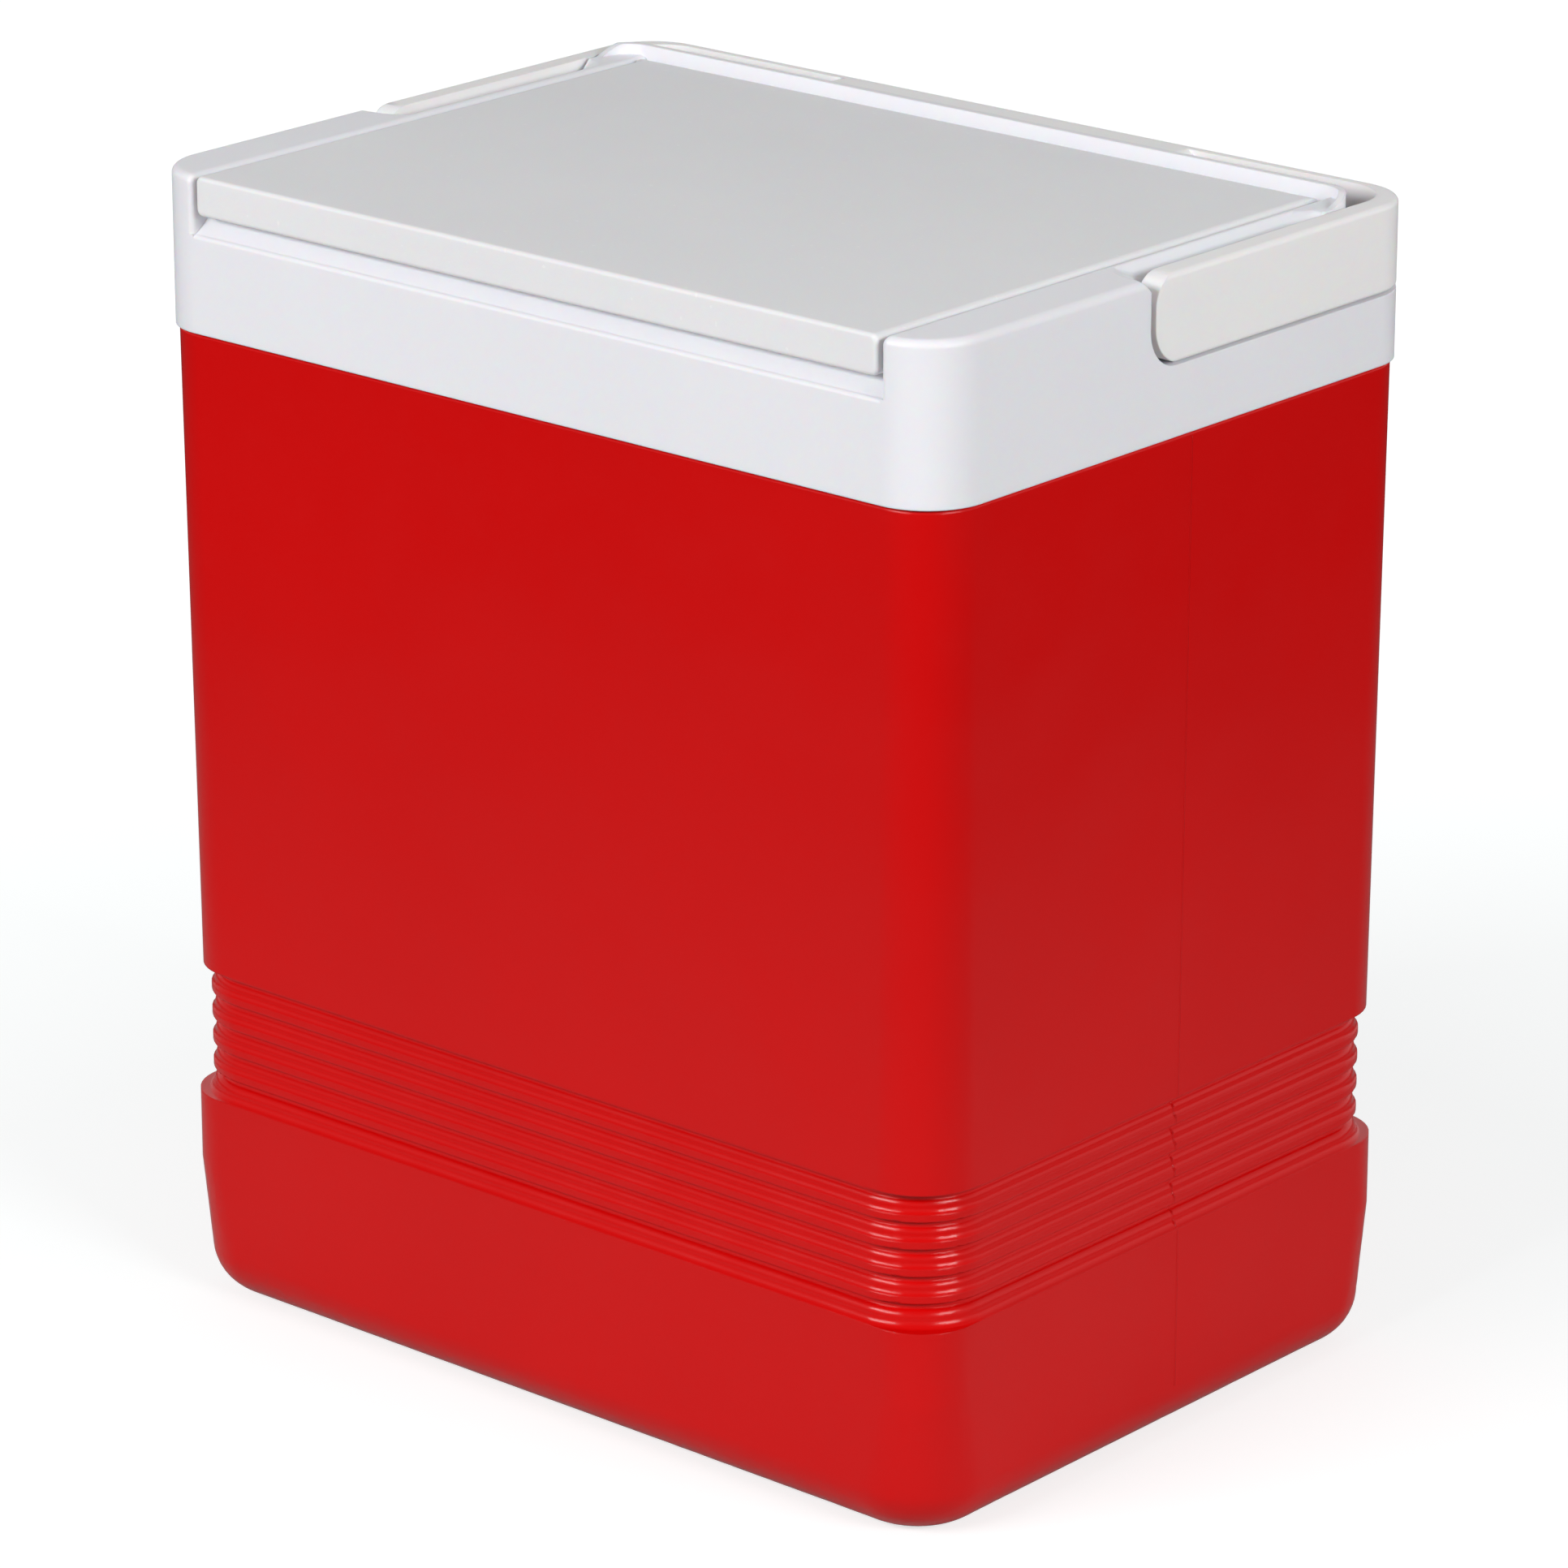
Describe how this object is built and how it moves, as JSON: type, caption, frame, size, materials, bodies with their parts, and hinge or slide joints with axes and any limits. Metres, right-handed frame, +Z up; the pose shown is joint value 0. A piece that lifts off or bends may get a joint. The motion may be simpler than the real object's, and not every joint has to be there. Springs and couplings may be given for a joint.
{
  "type": "picnic cooler",
  "caption": "Upright hard picnic cooler with a ribbed insulated body, a hinged lid flush in a deep collar, and a swinging bail handle.",
  "frame": {"origin": "on the ground under the middle of the body", "axes": "+X is the user's right, +Y is the rear where the lid hinges, +Z is up"},
  "size_m": [0.317, 0.23, 0.3765],
  "materials": {
    "body_shell": "satin red blow-moulded polyethylene",
    "collar": "satin cool white polypropylene",
    "lid": "fine-textured white polypropylene",
    "handle": "satin warm white polypropylene",
    "liner": "smooth white polypropylene",
    "foam": "rigid polyurethane foam",
    "pivot": "white acetal",
    "pin": "plain steel"
  },
  "bodies": {
    "body": {"outer_shell": "body_shell", "body_foam": "foam", "inner_liner": "liner", "collar": "collar", "handle_pivots": "pivot", "hinge_pins": "pin"},
    "lid": {"lid_top": "lid", "lid_foam": "foam", "lid_liner": "liner"},
    "bail": {"handle": "handle"}
  },
  "joints": [
    {"name": "lid_hinge", "type": "hinge", "parent": "body", "child": "lid", "pos_m": [0, 0.0872, 0.369], "axis": [-1, 0, 0], "range_deg": [0, 95]},
    {"name": "handle_pivot", "type": "hinge", "parent": "body", "child": "bail", "pos_m": [0, -0.002, 0.3593], "axis": [1, 0, 0], "range_deg": [0, 90]}
  ]
}
